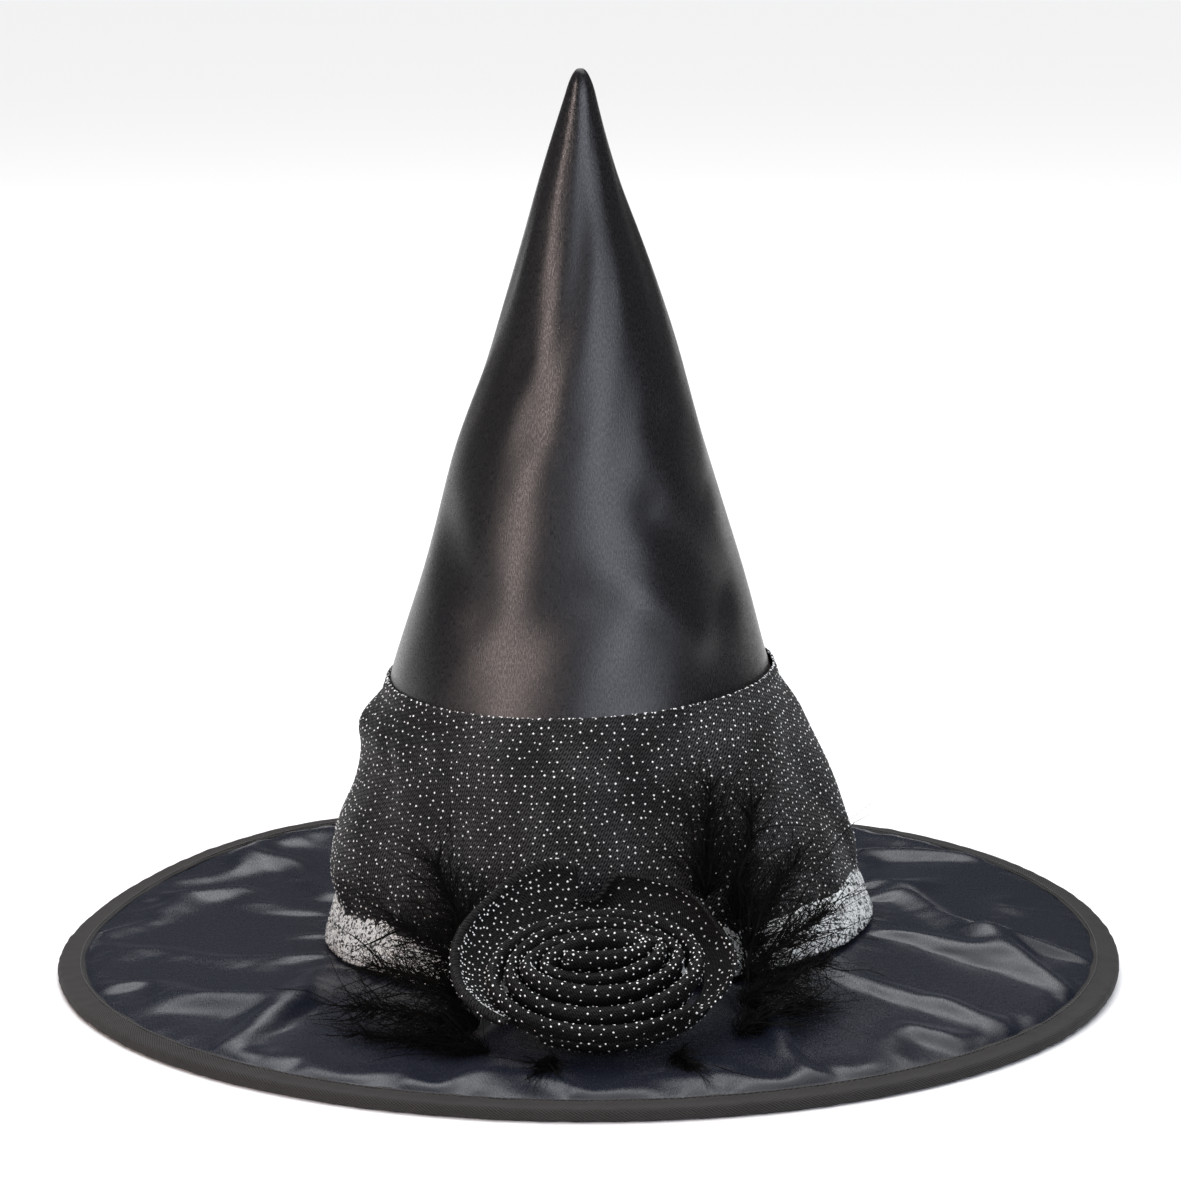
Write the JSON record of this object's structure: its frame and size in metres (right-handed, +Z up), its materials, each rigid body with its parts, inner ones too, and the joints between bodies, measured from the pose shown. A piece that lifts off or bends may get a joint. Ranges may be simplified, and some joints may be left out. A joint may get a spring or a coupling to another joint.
{
  "type": "witch hat",
  "caption": "Tall pointed satin witch hat with a wide bound brim, a glittering net wrap, a silver ribbon and a rolled net rosette with feathers.",
  "frame": {"origin": "middle of the brim, on the surface that the hat stands on", "axes": "+Z up through the crown's tip, -Y towards the front, where the rosette is, +X to the right seen from the front"},
  "size_m": [0.376, 0.376, 0.3166],
  "materials": {
    "crown_satin": "black polyester satin",
    "brim_satin": "blue-black polyester satin",
    "stiffener": "black stiff non-woven",
    "cotton_tape": "black woven cotton",
    "wire_steel": "plain drawn wire",
    "twill_binding": "charcoal cotton twill tape",
    "glitter_net": "black net with silver glitter dots",
    "silver_lurex": "sparkling silver metallic cloth",
    "black_felt": "black felt",
    "clear_glue": "milky hot-melt glue",
    "black_down": "black marabou down"
  },
  "bodies": {
    "root": {"crown_satin": "crown_satin", "crown_stiffener": "stiffener", "crown_seam_tape": "cotton_tape", "sweatband": "cotton_tape", "brim_top_satin": "brim_satin", "brim_stiffener": "stiffener", "brim_under_satin": "brim_satin", "brim_wire": "wire_steel", "wire_joiner": "wire_steel", "brim_binding": "twill_binding", "glitter_wrap": "glitter_net", "silver_ribbon": "silver_lurex", "rosette_backing": "black_felt", "rosette_glue": "clear_glue", "rosette_bud": "glitter_net", "rosette_fold_inner": "glitter_net", "rosette_fold_middle": "glitter_net", "rosette_fold_outer": "glitter_net", "rosette_petal_left": "glitter_net", "rosette_petal_right": "glitter_net", "feather_left_1": "black_down", "feather_left_2": "black_down", "feather_left_3": "black_down", "feather_left_4": "black_down", "feather_left_5": "black_down", "feather_right_1": "black_down", "feather_right_2": "black_down", "feather_right_3": "black_down", "feather_right_4": "black_down", "feather_right_5": "black_down", "feather_right_6": "black_down", "feather_front_1": "black_down", "feather_front_2": "black_down"}
  },
  "joints": []
}
